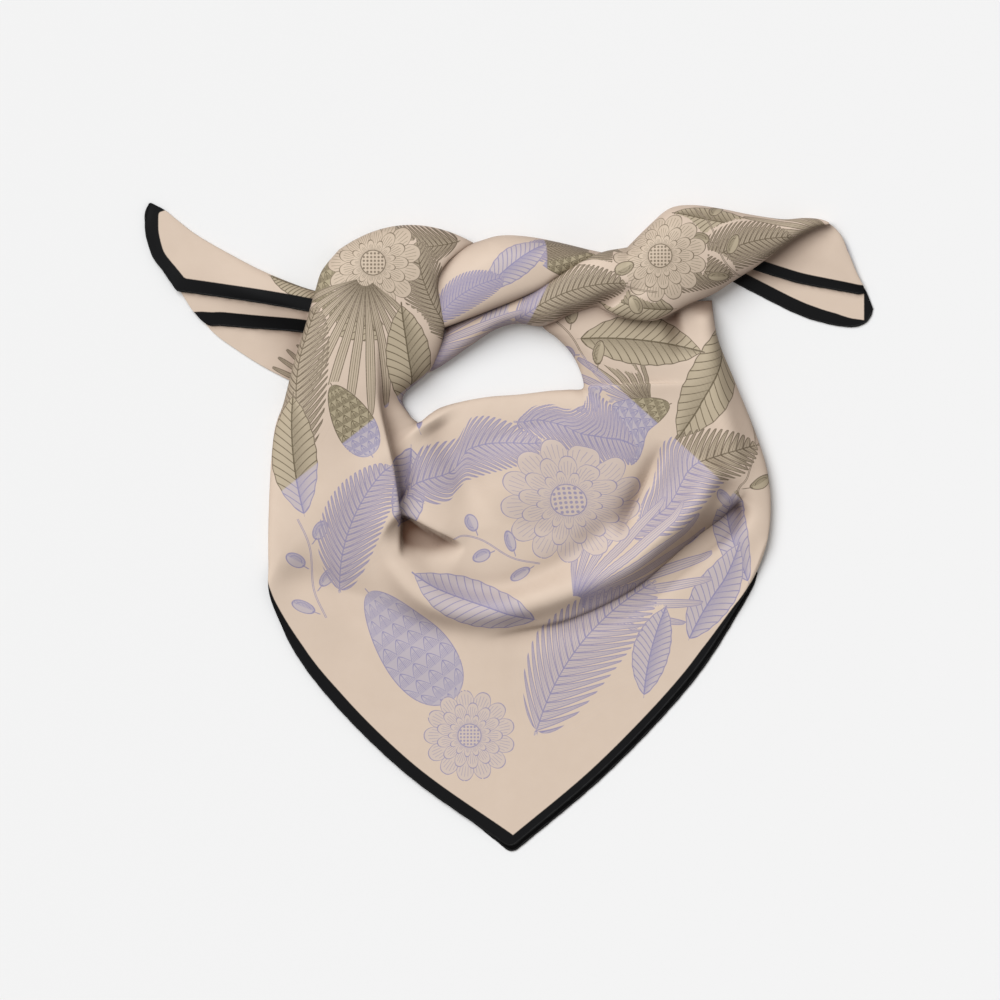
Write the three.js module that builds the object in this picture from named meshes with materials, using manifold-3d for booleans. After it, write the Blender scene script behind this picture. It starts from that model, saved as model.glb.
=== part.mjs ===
// A silk square scarf, folded on its diagonal, tied in a half knot and laid flat on a table.
// Millimetres, +Z up. +Y points from the bib's corner towards the knot.
// The origin lies on the table, under the middle of the scarf.
import * as THREE from 'three';
import Module from 'manifold-3d';

const wasm = await Module();
wasm.setup();

// Driving dimensions
const WALL = 1.6; // one layer of cloth
const SEAM = 0.3; // free space between neighbouring stretches
const EDGE_WALL = 2; // thickness left at a rolled edge
const EDGE_ROUND = 14; // how far the underside takes to come down to the table from a rolled edge
const NECK_ROLL = [20, 30]; // distances from the neck edge between which the bib's underside leaves the table
const CUT_DEPTH = 4; // how far a stretch that lies on top reaches down when it trims its neighbours
const STEP = 12; // how far a lapped edge takes to drop to the cloth below it
const NARROWEST = 7; // narrowest side of a fold that these coarse solids follow
const ROUNDNESS = 2.3; // power of the curve from a crest down to an edge: 2 is an ellipse
const FALL = 3; // power of the curve where the cloth comes down to lie flat

const SILK = new THREE.MeshStandardMaterial({ color: 0xd8c4b0, roughness: 0.55, metalness: 0 });

const table = (names, rows) =>
  rows.map((row) => Object.fromEntries(names.split(' ').map((name, i) => [name, row[i]])));

// A section runs from edge a to edge b. aLift and bLift are the heights of its two edges, and crest is
// its height at crestAt, a share of the way from a to b. bow bends the section sideways. reach is how far
// past the crest the cloth stays up, as a share of the rest of the way: beyond it the cloth lies flat.
// free is 1 where edge b is the hemmed edge of the square, which is a single layer.
// turn is 1 where edge a or b has a corner: 1 for a, 2 for b.
const SECTION = 'aX aY bX bY bow crest crestAt aLift bLift reach free turn';

// The bib and both arms, from the knot's left round to its right. Edge a is the neck edge, edge b the outside.
const COLLAR = table(SECTION, [
  [-31, 243, -145, 237, 18, 29, 0.5, 12, 10, 3, 0, 0],
  [-53, 226, -159, 220, 6, 33, 0.5, 24, 12, 3, 0, 0],
  [-61, 207, -165, 203, 2, 35, 0.5, 25, 14, 3, 0, 0],
  [-55, 173, -175, 168, 0, 34, 0.5, 22, 15, 3, 0, 0],
  [-66, 137, -184, 139, 0, 30, 0.5, 12, 14, 3, 0, 0],
  [-90, 113, -192, 107, 0, 26, 0.5, 7, 10, 3, 0, 0],
  [-85, 97, -200, 82, 0, 23, 0.5, 7, 8, 3, 0, 0],
  [-78, 90, -204, 33, 0, 20, 0.45, 7, 8, 3, 0, 1],
  [-74, 92, -205, -27, 0, 20, 0.35, 7, 8, 1.6, 0, 0],
  [-68, 97, -201, -66, 0, 19, 0.25, 7, 4, 0.9, 0.6, 0],
  [-58, 103, -165, -129, 0, 17, 0.18, 6, 3.6, 0.6, 1, 0],
  [-40, 108, -91, -205, 0, 15, 0.15, 6, 3.6, 0.55, 1, 0],
  [-17, 112, 1, -271, 0, 14, 0.1, 6, 3.6, 0.55, 1, 2],
  [9, 114, 81, -203, 0, 14, 0.1, 6, 3.6, 0.55, 1, 0],
  [34, 117, 152, -127, 0, 15, 0.12, 6, 3.6, 0.6, 1, 0],
  [50, 118, 195, -63, 0, 17, 0.2, 7, 4, 0.7, 1, 0],
  [62, 119, 215, -25, 0, 18, 0.3, 7, 6, 0.9, 0.4, 0],
  [62, 128, 222, 12, 0, 20, 0.4, 8, 8, 2, 0, 0],
  [57, 141, 219, 50, 0, 22, 0.45, 8, 8, 3, 0, 0],
  [50, 152, 207, 87, 0, 24, 0.5, 8, 8, 3, 0, 0],
  [40, 162, 192, 124, 0, 25, 0.5, 8, 8, 3, 0, 0],
  [28, 172, 177, 162, 0, 25, 0.5, 8, 8, 3, 0, 0],
  [27, 186, 172, 194, 0, 24, 0.5, 8, 8, 3, 0, 0],
]);
const LEFT_SPLIT = 7.5; // rows of COLLAR where the left arm ends and the bib begins
const RIGHT_SPLIT = 16.5; // and where the bib ends and the right arm begins

// The lower layer of the bib, flat on the table. It shows along the right edge and at the corner.
const BACK = table(SECTION, [
  [-150, 25, -190, -60, 0, 1.5, 0.5, 1.5, 1.5, 0.4, 0, 0],
  [-100, 40, -160, -124, 0, 1.5, 0.5, 1.5, 1.5, 0.4, 1, 0],
  [-50, 60, -88, -201, 0, 1.5, 0.5, 1.5, 1.5, 0.4, 1, 0],
  [0, 70, 2, -275.5, 0, 1.5, 0.5, 1.5, 1.5, 0.4, 1, 2],
  [50, 60, 84, -206, 0, 1.5, 0.5, 1.5, 1.5, 0.4, 1, 0],
  [100, 50, 155, -130, 0, 1.5, 0.5, 1.5, 1.5, 0.4, 1, 0],
  [150, 35, 197.5, -65, 0, 1.5, 0.5, 1.5, 1.5, 0.4, 1, 0],
  [185, 0, 211, -38, 0, 1.5, 0.5, 1.5, 1.5, 0.4, 1, 0],
]);

// The right arm's end, turned left over the knot: edge a is the upper outline, edge b lies on the band below.
const BULGE = table(SECTION, [
  [-59, 235, -68, 166, 0, 24, 0.55, 9, 19, 3, 0, 0],
  [-30, 243, -49, 173, 0, 31, 0.55, 9, 20, 3, 0, 0],
  [-8, 249, -23, 183, 0, 35, 0.55, 9, 22, 3, 0, 0],
  [17, 248, 5, 194, 0, 36, 0.55, 9, 24, 3, 0, 0],
  [43, 243, 27, 204, 0, 34, 0.55, 10, 26, 3, 0, 0],
  [68, 237, 43, 214, 0, 30, 0.5, 11, 26, 3, 0, 0],
  [87, 233, 64, 221, 0, 26, 0.5, 12, 24, 3, 0, 0],
]);

// The left arm's end. It comes out under the bulge, crosses the right arm and opens into the right tail.
const BAND = table(SECTION, [
  [-72, 164, -72, 131, 0, 14, 0.5, 11, 7, 3, 0, 0],
  [-51, 172, -58, 138, 0, 18, 0.4, 14, 7, 3, 0, 0],
  [-29, 181, -35, 154, 0, 21, 0.4, 17, 7, 3, 0, 0],
  [-6, 190, -12, 169, 0, 24, 0.4, 20, 8, 3, 0, 0],
  [17, 199, 7, 174, 0, 28, 0.4, 25, 9, 3, 0, 0],
  [40, 213, 28, 172, 0, 34, 0.45, 29, 12, 3, 0, 0],
  [60, 226, 53, 181, 0, 38, 0.5, 30, 22, 3, 0, 0],
  [79, 235, 75, 187, 0, 41, 0.5, 26, 28, 3, 0, 0],
  [100, 239, 96, 179, 0, 42, 0.5, 14, 30, 3, 0, 1],
  [119, 258, 124, 177, 0, 42, 0.5, 11, 30, 3, 0, 0],
  [136, 272, 153, 191, 0, 39, 0.5, 10, 25, 3, 0, 0],
  [155, 275, 173, 199, 0, 35, 0.5, 10, 16, 3, 0, 0],
  [179, 272, 193, 212, 0, 31, 0.5, 10, 14, 3, 0, 0],
  [204, 267, 209, 222, 0, 28, 0.55, 10, 15, 3, 0, 0],
  [232, 263, 226, 235, 0, 24, 0.6, 10, 15, 3, 0, 0],
  [250, 264, 242, 247, 0, 21, 0.6, 10, 14, 3, 0, 0],
  [264, 263, 257, 255, 0, 18, 0.6, 10, 13, 3, 0, 0],
  [272, 260, 270, 258, 0, 14, 0.5, 10, 11, 3, 0, 0],
]);
const STRAND_SPLIT = 4.5; // rows of BAND where the strand under the bulge ends and the band begins
const FLAP_SPLIT = 11.5; // and where the band ends and the tail's open flap begins

// The right tail's two inner layers, seen through its mouth. Edge b carries the hem.
const INNER_LEAF = table(SECTION, [
  [238, 260, 200, 223, 0, 6, 0.2, 4, 3.6, 0.6, 1, 0],
  [260, 263, 226, 215, 0, 6.5, 0.2, 5, 3.6, 0.6, 1, 0],
  [272, 259, 247, 209, 0, 7, 0.2, 5, 3.6, 0.6, 1, 0],
  [282, 249, 268, 205, 0, 7, 0.2, 5, 3.6, 0.6, 1, 0],
  [289, 233, 285, 202, 0, 6, 0.25, 4.5, 3.6, 0.6, 1, 0],
  [295, 218, 296, 200, 0, 5, 0.3, 4, 3.6, 0.6, 1, 0],
  [301, 206, 302, 200, 0, 3.9, 0.5, 3.7, 3.6, 0.6, 1, 0],
]);
const OUTER_LEAF = table(SECTION, [
  [181, 226, 181, 215, 0, 1.6, 0.5, 1.6, 1.6, 0.4, 1, 0],
  [217, 226, 218, 196, 0, 1.6, 0.5, 1.6, 1.6, 0.4, 1, 0],
  [238, 223, 238, 186, 0, 1.6, 0.5, 1.6, 1.6, 0.4, 1, 0],
  [257, 220, 255, 179, 0, 1.6, 0.5, 1.6, 1.6, 0.4, 1, 0],
  [275, 216, 274, 174, 0, 1.6, 0.5, 1.6, 1.6, 0.4, 1, 0],
  [291, 211, 291, 172, 0, 1.6, 0.5, 1.6, 1.6, 0.4, 1, 0],
  [301, 205, 303, 176, 0, 1.6, 0.5, 1.6, 1.6, 0.4, 1, 0],
  [306, 195, 309, 187, 0, 1.6, 0.5, 1.6, 1.6, 0.4, 1, 0],
]);

// The left tail's three layers, from the top one down. Each starts under the left arm and runs to the left.
const TOP_LEAF = table(SECTION, [
  [-157, 200, -157, 182, 0, 6, 0.4, 2.4, 5.6, 3, 1, 0],
  [-178, 206, -181, 187, 0, 6, 0.4, 2.4, 5.6, 3, 1, 0],
  [-210, 219, -216, 193, 0, 6, 0.4, 2.4, 5.6, 3, 1, 0],
  [-239, 234, -250, 198, 0, 6, 0.4, 2.4, 5.6, 3, 1, 0],
  [-265, 249, -282.5, 202.5, 0, 6, 0.4, 2.4, 5.6, 3, 1, 2],
  [-281, 261, -293, 218, 0, 5, 0.4, 2.4, 4.6, 3, 1, 0],
  [-292, 270, -303, 232, 0, 4, 0.4, 2.4, 3.6, 3, 1, 0],
  [-300, 274.5, -308.5, 250, 0, 3.5, 0.4, 2, 3, 3, 1, 0],
  [-306, 275.5, -309, 268, 0, 3, 0.4, 2, 2.6, 3, 1, 0],
]);
const MIDDLE_LEAF = table(SECTION, [
  [-157, 192, -159, 164, 0, 3.6, 0.5, 3.6, 3.6, 0.4, 1, 0],
  [-181, 194, -181, 168, 0, 3.6, 0.5, 3.6, 3.6, 0.4, 1, 0],
  [-221, 199, -221, 171, 0, 3.6, 0.5, 3.6, 3.6, 0.4, 1, 0],
  [-244, 203, -244, 173, 0, 3.6, 0.5, 3.6, 3.6, 0.4, 1, 0],
  [-264, 205, -258, 174, 0, 3.6, 0.5, 3.6, 3.6, 0.4, 1, 0],
  [-282, 205, -270, 186, 0, 3.6, 0.5, 3.6, 3.6, 0.4, 1, 0],
]);
const LOWER_LEAF = table(SECTION, [
  [-159, 179, -171, 119, 0, 1.7, 0.5, 1.6, 1.6, 3, 0, 0],
  [-185, 179, -187, 126, 0, 1.7, 0.5, 1.6, 1.6, 3, 0, 0],
  [-210, 181, -210, 138, 0, 1.7, 0.5, 1.6, 1.6, 3, 0, 0],
  [-232, 183, -232, 152, 0, 1.7, 0.5, 1.6, 1.6, 3, 0, 0],
  [-251, 185, -250, 165, 0, 1.7, 0.5, 1.6, 1.6, 3, 0, 0],
  [-262, 187, -260, 176, 0, 1.7, 0.5, 1.6, 1.6, 3, 0, 0],
]);

// Folds. depth is the height added along the path, negative for a trough. near and far are the widths of its
// two sides, near being on the left when going along the path. A lip stands up on its near side and drops off
// sharply on its far side. The fold fades out over the share fade of its length, at its start and its end.
const FOLD = 'kind depth near far fadeIn fadeOut path';
const CREASE = [[-34, -96], [1, -88], [54, -76], [107, -50], [155, -10], [184, 12], [200, 26]];
const FOLDS = table(FOLD, [
  // the ridge that hangs in a U below the neck
  ['ridge', 11, 17, 14, 0.3, 0.2, [[-104, 50], [-103, -14], [-72, -60], [-20, -72], [43, -57], [94, -34],
    [122, -12], [160, 24], [180, 58]]],
  // the deep crease under that ridge, with the cloth above it hanging over its edge
  ['ridge', -4, 7, 16, 0.35, 0.12, CREASE],
  ['lip', 4, 10, 14, 0.3, 0.12, CREASE],
  // the shallow valley inside the ridge
  ['ridge', -7, 10, 9, 0.2, 0.3, [[-80, -22], [-55, -43], [-17, -51], [30, -37], [73, -7], [98, 20],
    [112, 51], [122, 84]]],
  // the swell in the middle of the bib
  ['ridge', 6, 40, 40, 0.3, 0.4, [[9, 84], [20, 41], [14, 0]]],
  // the valley that runs down from the corner of the neck
  ['ridge', -7, 16, 16, 0.15, 0.4, [[-66, 92], [-50, 66], [-34, 34], [-28, -2]]],
  // the left panel, lapped over the middle of the bib
  ['lip', 8, 20, 16, 0.2, 0.12, [[-92, -28], [-93, -1], [-95, 23], [-99, 53], [-105, 82], [-110, 109],
    [-112, 156], [-111, 190]]],
  // the edge of the pocket beside that panel, and the pocket
  ['lip', 5, 16, 14, 0.05, 0.5, [[-96, 16], [-72, 3], [-52, -7], [-36, -16]]],
  ['ridge', -14, 8, 16, 0, 0.7, [[-95, -2], [-80, -9], [-64, -18], [-46, -27]]],
  // the hollow across the left side of the bib
  ['ridge', -5, 17, 15, 0.2, 0.3, [[-200, -34], [-148, -52], [-93, -79], [-42, -96]]],
  // the slanting hollow in the right half
  ['ridge', -5, 8, 8, 0.25, 0.3, [[133, 78], [122, 50], [110, 24], [98, 4]]],
  // the folded neck edge where it passes in front of the right arm
  ['lip', -1.5, 14, 10, 0.1, 0.4, [[62, 121], [111, 123], [160, 124]]],
  // the tuck in the right arm, below the knot, and the roll along the arm's outer side
  ['ridge', -10, 7, 7, 0.1, 0.5, [[136, 190], [141, 166], [149, 140]]],
  ['ridge', 7, 12, 12, 0.1, 0.35, [[168, 190], [172, 155], [177, 114], [186, 80], [192, 50], [190, 30]]],
]);
const BAND_FOLDS = table(FOLD, [
  // the crease along the band where it comes over the right arm
  ['ridge', -8, 7, 7, 0.2, 0.4, [[40, 174], [66, 184], [88, 196], [122, 207]]],
]);
// The left tail is fuller near the knot than at its tip.
const TAIL_FOLDS = table(FOLD, [
  ['ridge', 6, 26, 26, 0, 0.7, [[-150, 180], [-190, 192], [-235, 208], [-285, 235]]],
]);

const smooth = (low, high, x) => THREE.MathUtils.smoothstep(x, low, high);
const mix = THREE.MathUtils.lerp;

// One column of a section table as a smooth curve, with a sharp corner at the rows that turn.
function column(rows, name, t) {
  const last = rows.length - 1;
  const i = Math.min(Math.max(Math.floor(t), 0), last - 1);
  const s = t - i;
  const corner = (k) => rows[k].turn === (name[0] === 'a' ? 1 : 2) && /^[ab][XY]$/.test(name);
  const value = (k) => rows[Math.min(Math.max(k, 0), last)][name];
  const step = value(i + 1) - value(i);
  const startSlope = corner(i) ? step : (value(i + 1) - value(i - 1)) / 2;
  const endSlope = corner(i + 1) ? step : (value(i + 2) - value(i)) / 2;
  const h = s * s * (3 - 2 * s);
  return value(i) + h * step + s * (1 - s) * ((1 - s) * startSlope - s * endSlope);
}

const PATH_STEPS = 40;
const tracks = new Map();
function track(fold) {
  if (!tracks.has(fold)) {
    const curve = new THREE.CatmullRomCurve3(fold.path.map(([x, y]) => new THREE.Vector3(x, y, 0)));
    tracks.set(fold, curve.getPoints(PATH_STEPS));
  }
  return tracks.get(fold);
}

// How much one fold raises the cloth at a point of the plan.
function raisedBy(fold, x, y) {
  const points = track(fold);
  let nearest = { gap: Infinity };
  for (let i = 0; i < PATH_STEPS; i += 1) {
    const [p, q] = [points[i], points[i + 1]];
    const [dx, dy] = [q.x - p.x, q.y - p.y];
    const s = THREE.MathUtils.clamp(((x - p.x) * dx + (y - p.y) * dy) / (dx * dx + dy * dy), 0, 1);
    const [ox, oy] = [x - p.x - s * dx, y - p.y - s * dy];
    const gap = Math.hypot(ox, oy);
    if (gap < nearest.gap) nearest = { gap, at: (i + s) / PATH_STEPS, left: dx * oy - dy * ox > 0 };
  }
  const { gap, at, left } = nearest;
  const fade = smooth(0, fold.fadeIn || 1e-6, at) * smooth(0, fold.fadeOut || 1e-6, 1 - at);
  const bell = Math.exp(-((gap / Math.max(left ? fold.near : fold.far, NARROWEST)) ** 2));
  if (fold.kind === 'ridge') return fold.depth * fade * bell;
  const side = left ? 1 : -1;
  return fold.depth * fade * bell * side * smooth(0, STEP, gap);
}

// Height of the cloth at a share v of the way across a section, before its folds.
function profile(row, v) {
  if (v < row.crestAt) {
    const w = 1 - v / row.crestAt;
    return mix(row.aLift, row.crest, Math.sqrt(1 - w ** ROUNDNESS));
  }
  const w = (v - row.crestAt) / (1 - row.crestAt);
  const dome = Math.sqrt(Math.max(0, 1 - w ** ROUNDNESS));
  const fall = Math.exp(-((w / row.reach) ** FALL));
  return mix(row.bLift, row.crest, mix(dome, 1, Math.min(1, row.free)) * fall);
}

// The point of the plan at a share v of the way across the section at t, without its bow.
function across(rows, t, v) {
  const [aX, aY, bX, bY] = ['aX', 'aY', 'bX', 'bY'].map((name) => column(rows, name, t));
  return new THREE.Vector2(mix(aX, bX, v), mix(aY, bY, v));
}

// A stretch of cloth: place(share, v) gives a point of the plan, a share of the way along the stretch and a
// share v across it, with the heights of the cloth's upper and lower side there.
// under is 'filled' for folded layers down to the table, 'wall' for a single layer, and 'bib' for folded
// layers that come down to the table along edge a and lie on another layer elsewhere. grow makes the stretch
// larger all round, so that it can trim its neighbours.
function stretch(rows, { under = 'filled', folds = [], lowest = 0, roundStart = 0, grow = 0, range = null }) {
  const last = rows.length - 1;
  const [first, final] = range ?? [0, last];
  const names = SECTION.split(' ');
  const place = (share, v) => {
    const t = mix(first, final, share);
    const row = Object.fromEntries(names.map((name) => [name, column(rows, name, t)]));
    const [a, b] = [new THREE.Vector2(row.aX, row.aY), new THREE.Vector2(row.bX, row.bY)];
    const width = a.distanceTo(b);
    const crosswise = b.clone().sub(a).normalize();
    const sideways = new THREE.Vector2(crosswise.y, -crosswise.x);
    const point = a.addScaledVector(crosswise, mix(-grow, width + grow, v));
    point.addScaledVector(sideways, row.bow * 4 * v * (1 - v));
    // each end stands back by half a seam where the cloth goes on in the next stretch
    const end = share === 0 ? -1 : share === 1 ? 1 : 0;
    const forward = across(rows, Math.min(t + 0.01, last), v).sub(across(rows, Math.max(t - 0.01, 0), v));
    point.addScaledVector(forward.normalize(), end * (grow - (range ? SEAM / 2 : 0)));

    const flatTop = profile(row, v);
    const raised = folds.reduce((sum, fold) => sum + raisedBy(fold, point.x, point.y), flatTop);
    const started = roundStart ? Math.sqrt(1 - (1 - Math.min(1, t / roundStart)) ** 2) : 1;
    const top = Math.max(mix(row.aLift, raised, started), lowest + WALL) + grow;

    // the underside: rolled up at the edges of folded cloth, and a wall's thickness below single cloth
    const lift = Math.max(0, Math.min(v < 0.5 ? row.aLift : row.bLift, flatTop) - EDGE_WALL);
    const rollA = 1 - smooth(0, EDGE_ROUND, v * width);
    const rollB = (1 - smooth(0, EDGE_ROUND, (1 - v) * width)) * (1 - Math.min(1, row.free * 2));
    const folded = Math.min(lift * Math.max(rollA, rollB), top - WALL);
    const single = Math.max(lowest, top - WALL - grow);
    const laid = mix(folded, lowest, smooth(...NECK_ROLL, v * width));
    const cut = grow ? grow + (under === 'wall' ? 0 : CUT_DEPTH) : 0;
    const bottom = Math.min({ filled: folded, wall: single, bib: laid }[under] - cut, top - WALL / 2);
    return new THREE.Vector4(point.x, point.y, top, bottom);
  };
  // where along the stretch an edge has a corner
  place.corners = rows.flatMap((row, k) =>
    row.turn && k > first && k < final ? [(k - first) / (final - first)] : [],
  );
  return place;
}

// How the cells of a section are spread: closer where the cloth turns most.
const nearBothEdges = (even) => mix(even, 0.5 - 0.5 * Math.cos(Math.PI * even), 0.7);
const nearNeck = (even) => even ** 1.5;

// A closed mesh between the upper and the lower side of a stretch, on a grid of long by wide cells.
function solid(place, long, wide, spread = nearBothEdges) {
  const positions = [];
  const faces = [];
  const upper = (i, j) => (i * (wide + 1) + j) * 2;
  const lower = (i, j) => upper(i, j) + 1;
  for (let i = 0; i <= long; i += 1) {
    const share = place.corners.find((corner) => Math.round(corner * long) === i) ?? i / long;
    for (let j = 0; j <= wide; j += 1) {
      const p = place(share, spread(j / wide));
      positions.push(p.x, p.y, p.z, p.x, p.y, p.w);
    }
  }
  // each cell is split along its more level diagonal, so that a slanting fold keeps a clean edge
  const heightOf = (k) => positions[3 * k + 2];
  const quad = (a, b, c, d) => {
    const level = Math.abs(heightOf(a) - heightOf(c)) <= Math.abs(heightOf(b) - heightOf(d));
    faces.push(...(level ? [a, b, c, a, c, d] : [a, b, d, b, c, d]));
  };
  for (let i = 0; i < long; i += 1) {
    for (let j = 0; j < wide; j += 1) {
      quad(upper(i, j), upper(i, j + 1), upper(i + 1, j + 1), upper(i + 1, j));
      quad(lower(i, j), lower(i + 1, j), lower(i + 1, j + 1), lower(i, j + 1));
    }
    quad(upper(i, 0), upper(i + 1, 0), lower(i + 1, 0), lower(i, 0));
    quad(upper(i + 1, wide), upper(i, wide), lower(i, wide), lower(i + 1, wide));
  }
  for (let j = 0; j < wide; j += 1) {
    quad(upper(0, j + 1), upper(0, j), lower(0, j), lower(0, j + 1));
    quad(upper(long, j), upper(long, j + 1), lower(long, j + 1), lower(long, j));
  }
  const geometry = new THREE.BufferGeometry();
  geometry.setAttribute('position', new THREE.Float32BufferAttribute(positions, 3));
  geometry.setIndex(faces);
  return outward(geometry);
}

// Turns the faces round if the mesh is inside out.
function outward(geometry) {
  const position = geometry.getAttribute('position');
  const index = geometry.index.array;
  const corner = (k) => new THREE.Vector3().fromBufferAttribute(position, index[k]);
  let volume = 0;
  for (let k = 0; k < index.length; k += 3) volume += corner(k).dot(corner(k + 1).cross(corner(k + 2)));
  if (volume < 0) {
    for (let k = 0; k < index.length; k += 3) [index[k], index[k + 1]] = [index[k + 1], index[k]];
  }
  return geometry;
}

function toManifold(geometry) {
  const vertProperties = new Float32Array(geometry.getAttribute('position').array);
  const triVerts = new Uint32Array(geometry.index.array);
  return new wasm.Manifold(new wasm.Mesh({ numProp: 3, vertProperties, triVerts }));
}

// The geometry less what lies on top of it. Only the largest body is kept.
function trimmed(geometry, cutters) {
  let body = toManifold(geometry);
  for (const cutter of cutters) body = body.subtract(toManifold(cutter));
  const [largest] = body.decompose().sort((p, q) => q.volume() - p.volume());
  const mesh = largest.getMesh();
  const result = new THREE.BufferGeometry();
  result.setAttribute('position', new THREE.Float32BufferAttribute(mesh.vertProperties, 3));
  result.setIndex(Array.from(mesh.triVerts));
  return result;
}

const scarf = new THREE.Group();
function add(name, geometry, material) {
  const mesh = new THREE.Mesh(geometry, material);
  mesh.name = name;
  scarf.add(mesh);
}

// The left arm lies over the left tail, the bulge and the strand.
const leftArm = { folds: FOLDS, roundStart: 1.4, range: [0, LEFT_SPLIT] };
add('left_arm', solid(stretch(COLLAR, leftArm), 28, 22), SILK);
const overLeftArm = solid(stretch(COLLAR, { ...leftArm, grow: SEAM }), 28, 22);

// The bib's folds and the layers hidden in them lie on its lower layer.
const bib = { under: 'bib', folds: FOLDS, lowest: WALL + SEAM, range: [LEFT_SPLIT, RIGHT_SPLIT] };
add('bib_front', solid(stretch(COLLAR, bib), 43, 46, nearNeck), SILK);
add('bib_back', solid(stretch(BACK, { under: 'wall' }), 16, 4), SILK);

// The band crosses over the right arm and over the end of the bulge.
const band = { folds: BAND_FOLDS, range: [STRAND_SPLIT, FLAP_SPLIT] };
add('band', solid(stretch(BAND, band), 18, 12), SILK);
const overBand = solid(stretch(BAND, { ...band, grow: SEAM }), 18, 12);

const rightArm = { folds: FOLDS, range: [RIGHT_SPLIT, COLLAR.length - 1] };
add('right_arm', trimmed(solid(stretch(COLLAR, rightArm), 16, 22), [overBand]), SILK);

add('knot_bulge', trimmed(solid(stretch(BULGE, {}), 12, 12), [overLeftArm, overBand]), SILK);
const overBulge = solid(stretch(BULGE, { grow: SEAM }), 12, 12);

const strand = { range: [0, STRAND_SPLIT] };
add('knot_strand', trimmed(solid(stretch(BAND, strand), 10, 8), [overLeftArm, overBulge]), SILK);

// The right tail: its flap arches over the two layers inside.
const flap = { under: 'wall', lowest: 0, range: [FLAP_SPLIT, BAND.length - 1] };
add('right_tail_flap', solid(stretch(BAND, flap), 10, 8), SILK);
const overFlap = solid(stretch(BAND, { ...flap, grow: SEAM }), 10, 8);
const innerLeaf = solid(stretch(INNER_LEAF, { under: 'wall', lowest: WALL + SEAM }), 10, 6);
add('right_tail_inner', trimmed(innerLeaf, [overBand, overFlap]), SILK);
const outerLeaf = solid(stretch(OUTER_LEAF, { under: 'wall' }), 10, 4);
add('right_tail_outer', trimmed(outerLeaf, [overBand]), SILK);

// The left tail's layers, each lying on the next.
const topLeaf = solid(stretch(TOP_LEAF, { under: 'wall', folds: TAIL_FOLDS }), 12, 6);
add('left_tail_top', trimmed(topLeaf, [overLeftArm]), SILK);
const middleLeaf = solid(stretch(MIDDLE_LEAF, { under: 'wall', folds: TAIL_FOLDS }), 8, 4);
add('left_tail_middle', trimmed(middleLeaf, [overLeftArm]), SILK);
const lowerLeaf = solid(stretch(LOWER_LEAF, { folds: TAIL_FOLDS }), 8, 6);
add('left_tail_lower', trimmed(lowerLeaf, [overLeftArm]), SILK);

export default scarf;
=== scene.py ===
# A printed silk square scarf, tied in a half knot and laid flat on a pale floor.
import math
import bpy
import numpy as np
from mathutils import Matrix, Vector


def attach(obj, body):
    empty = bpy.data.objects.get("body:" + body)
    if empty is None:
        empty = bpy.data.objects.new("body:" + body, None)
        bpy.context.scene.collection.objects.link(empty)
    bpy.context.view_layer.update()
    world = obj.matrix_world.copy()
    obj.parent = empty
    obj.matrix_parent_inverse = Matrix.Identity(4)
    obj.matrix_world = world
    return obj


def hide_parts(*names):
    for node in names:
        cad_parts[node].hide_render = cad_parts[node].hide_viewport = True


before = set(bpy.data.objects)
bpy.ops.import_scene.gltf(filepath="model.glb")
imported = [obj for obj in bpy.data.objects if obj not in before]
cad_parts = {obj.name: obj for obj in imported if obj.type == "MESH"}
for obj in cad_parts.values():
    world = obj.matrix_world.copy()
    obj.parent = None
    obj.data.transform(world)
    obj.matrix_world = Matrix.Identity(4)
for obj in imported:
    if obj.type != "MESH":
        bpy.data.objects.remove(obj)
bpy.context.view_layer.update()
scene = bpy.context.scene

MM = 0.001
BORDER = 11.0  # width of the printed black border, in millimetres
ROUNDNESS = 2.3  # power of the curve from a crest down to an edge
FALL = 3  # power of the curve where the cloth comes down to lie flat
WALL = 1.6  # least height of the cloth above what it lies on, in millimetres
GAP = 0.25  # how far above what it lies on a turned edge ends, in millimetres
RINGS = 7  # grid lines that go round each edge
CORNER_LINES = 13  # grid lines across a rounded corner
HEM_RADIUS = 0.9  # of the rolled hem, in millimetres

# Sections of each stretch of cloth, in millimetres, as in the solids but for the last rows of TOP_LEAF.
# A section runs from edge a to edge b, and crestAt is the share of the way at which it is highest.
# free leaves edge b thin where it is 1. turn is 1 for a sharp corner in edge a and 2 for one in edge b.
SECTION = "aX aY bX bY bow crest crestAt aLift bLift reach free turn".split()


def table(names, rows):
    return {name: [row[i] for row in rows] for i, name in enumerate(names)}


def flat_layer(height, ends):
    """Sections of one layer of cloth that lies flat, from their two ends."""
    return table(SECTION, [[*end, 0, height, 0.5, height, height, 0.4, 1, 0] for end in ends])


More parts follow.
